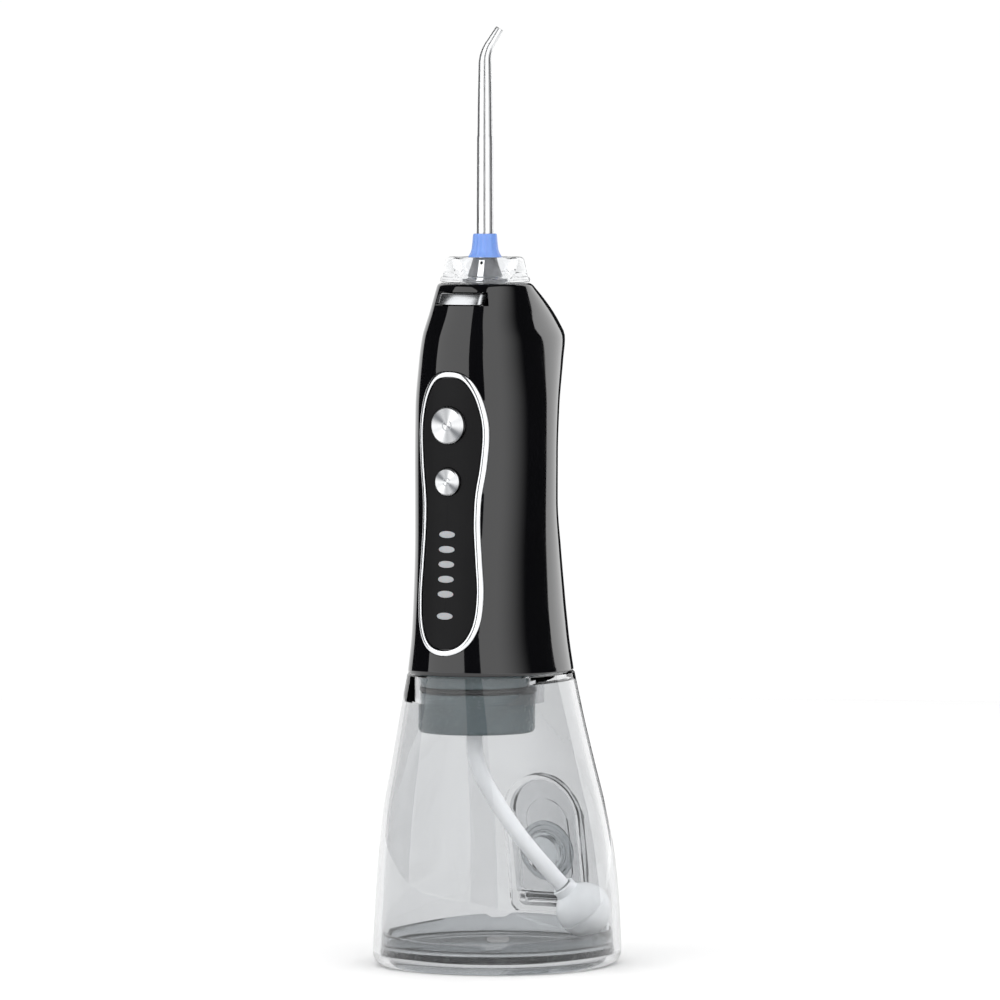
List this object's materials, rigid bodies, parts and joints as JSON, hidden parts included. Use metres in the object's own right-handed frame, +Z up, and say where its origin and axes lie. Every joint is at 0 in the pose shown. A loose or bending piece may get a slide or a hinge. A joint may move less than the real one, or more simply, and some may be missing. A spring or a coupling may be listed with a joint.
{
  "type": "water flosser",
  "caption": "Cordless water flosser: black grip with control panel on a clear flared tank with fill door, pressure dial, bent steel jet tip and weighted suction hose.",
  "frame": {"origin": "middle of the footprint, on the surface that the tank stands on", "axes": "+Z up along the nozzle; -Y is the front with the buttons; +X is the user's right when facing the front"},
  "size_m": [0.077, 0.0821, 0.2989],
  "materials": {
    "clear_plastic": "clear moulded plastic, polished, faint cool grey tint",
    "black_gloss": "high gloss moulded black",
    "black_matte": "fine satin black",
    "white_plastic": "translucent white light pipe or acetal",
    "slate_plastic": "semi-gloss slate grey",
    "grey_plastic": "satin dark grey moulding",
    "blue_plastic": "satin light blue",
    "frosted_silicone": "frosted translucent silicone",
    "seal_rubber": "matt black elastomer",
    "polished_steel": "polished stainless steel or bright plating",
    "spun_metal": "circularly brushed metal cap",
    "brass": "machined",
    "circuit_green": "solder mask",
    "cell_wrap": "shrink sleeve"
  },
  "bodies": {
    "reservoir": {"reservoir_shell": "clear_plastic", "reservoir_base": "clear_plastic", "fill_hinge_pin": "polished_steel"},
    "fill_door": {"fill_door": "clear_plastic", "fill_plug": "frosted_silicone"},
    "handset": {"handle_casing": "black_gloss", "control_panel": "black_matte", "panel_trim": "polished_steel", "status_light_1": "white_plastic", "status_light_2": "white_plastic", "status_light_3": "white_plastic", "status_light_4": "white_plastic", "status_light_5": "white_plastic", "charge_light": "white_plastic", "power_switch": "black_matte", "mode_switch": "black_matte", "circuit_board": "circuit_green", "charge_jack": "polished_steel", "dock": "slate_plastic", "dock_seal": "seal_rubber", "suction_barb": "slate_plastic", "dock_screw_1": "polished_steel", "dock_screw_2": "polished_steel", "dock_screw_3": "polished_steel", "chassis": "grey_plastic", "battery_cell": "cell_wrap", "motor_can": "polished_steel", "motor_screw_1": "polished_steel", "motor_screw_2": "polished_steel", "gear_axle": "polished_steel", "pump_cylinder": "grey_plastic", "pump_head": "grey_plastic", "inlet_valve": "seal_rubber", "outlet_valve": "seal_rubber", "inlet_tube": "frosted_silicone", "outlet_tube": "frosted_silicone", "nozzle_receiver": "grey_plastic", "receiver_seal": "seal_rubber", "latch_spring": "polished_steel"},
    "power_button": {"power_button": "spun_metal"},
    "mode_button": {"mode_button": "spun_metal"},
    "tip_release": {"release_button": "spun_metal", "latch_plate": "grey_plastic"},
    "port_cover": {"charge_port_cover": "seal_rubber"},
    "motor_rotor": {"motor_shaft": "polished_steel", "motor_pinion": "brass"},
    "crank_gear": {"crank_gear": "white_plastic", "crank_pin": "polished_steel"},
    "piston": {"piston_yoke": "white_plastic", "piston_seal": "seal_rubber"},
    "nozzle_dial": {"dial_crown": "clear_plastic", "dial_core": "grey_plastic"},
    "jet_tip": {"jet_tube": "polished_steel", "tip_collar": "blue_plastic", "tip_stem_seal": "seal_rubber"},
    "suction_hose": {"suction_hose": "frosted_silicone", "suction_weight": "frosted_silicone"}
  },
  "joints": [
    {"name": "handset_lift", "type": "slide", "parent": "reservoir", "child": "handset", "axis": [0, 0, 1], "range_m": [0, 0.1]},
    {"name": "fill_door_hinge", "type": "hinge", "parent": "reservoir", "child": "fill_door", "pos_m": [0, 0.0397, 0.0182], "axis": [-1, 0, 0], "range_deg": [0, 95]},
    {"name": "hose_swing", "type": "hinge", "parent": "handset", "child": "suction_hose", "pos_m": [0, -0.0144, 0.0746], "axis": [-0.783, 0.622, 0], "range_deg": [0, 36.5]},
    {"name": "power_press", "type": "slide", "parent": "handset", "child": "power_button", "axis": [0, 1, 0], "range_m": [0, 0.0006], "stiffness_N_per_m": 150},
    {"name": "mode_press", "type": "slide", "parent": "handset", "child": "mode_button", "axis": [0, 1, 0], "range_m": [0, 0.0006], "stiffness_N_per_m": 150},
    {"name": "release_press", "type": "slide", "parent": "handset", "child": "tip_release", "axis": [0, 1, 0], "range_m": [0, 0.0012], "stiffness_N_per_m": 250, "deforming": ["latch_spring"]},
    {"name": "port_cover_hinge", "type": "hinge", "parent": "handset", "child": "port_cover", "pos_m": [0, 0.02383, 0.1095], "axis": [1, 0, 0], "range_deg": [0, 80]},
    {"name": "crank_turn", "type": "hinge", "parent": "handset", "child": "crank_gear", "pos_m": [0, -0.0127, 0.1458], "axis": [0, 1, 0], "range_deg": [0, 180]},
    {"name": "motor_turn", "type": "hinge", "parent": "handset", "child": "motor_rotor", "pos_m": [0, -0.01575, 0.1346], "axis": [0, 0, 1], "range_deg": [0, 675]},
    {"name": "piston_stroke", "type": "slide", "parent": "handset", "child": "piston", "axis": [0, 0, 1], "range_m": [0, 0.005]},
    {"name": "dial_turn", "type": "hinge", "parent": "handset", "child": "nozzle_dial", "pos_m": [0, -0.0077, 0.2179], "axis": [0, 0, 1], "continuous": true},
    {"name": "tip_pull", "type": "slide", "parent": "nozzle_dial", "child": "jet_tip", "axis": [0, 0, 1], "range_m": [0, 0.03]}
  ],
  "couplings": [
    {"joint": "motor_turn", "follows": "crank_turn", "ratio": 3.75},
    {"joint": "piston_stroke", "follows": "crank_turn", "m_per_rad": 0.0015915},
    {"joint": "hose_swing", "follows": "handset_lift", "rad_per_m": 6.2832}
  ]
}
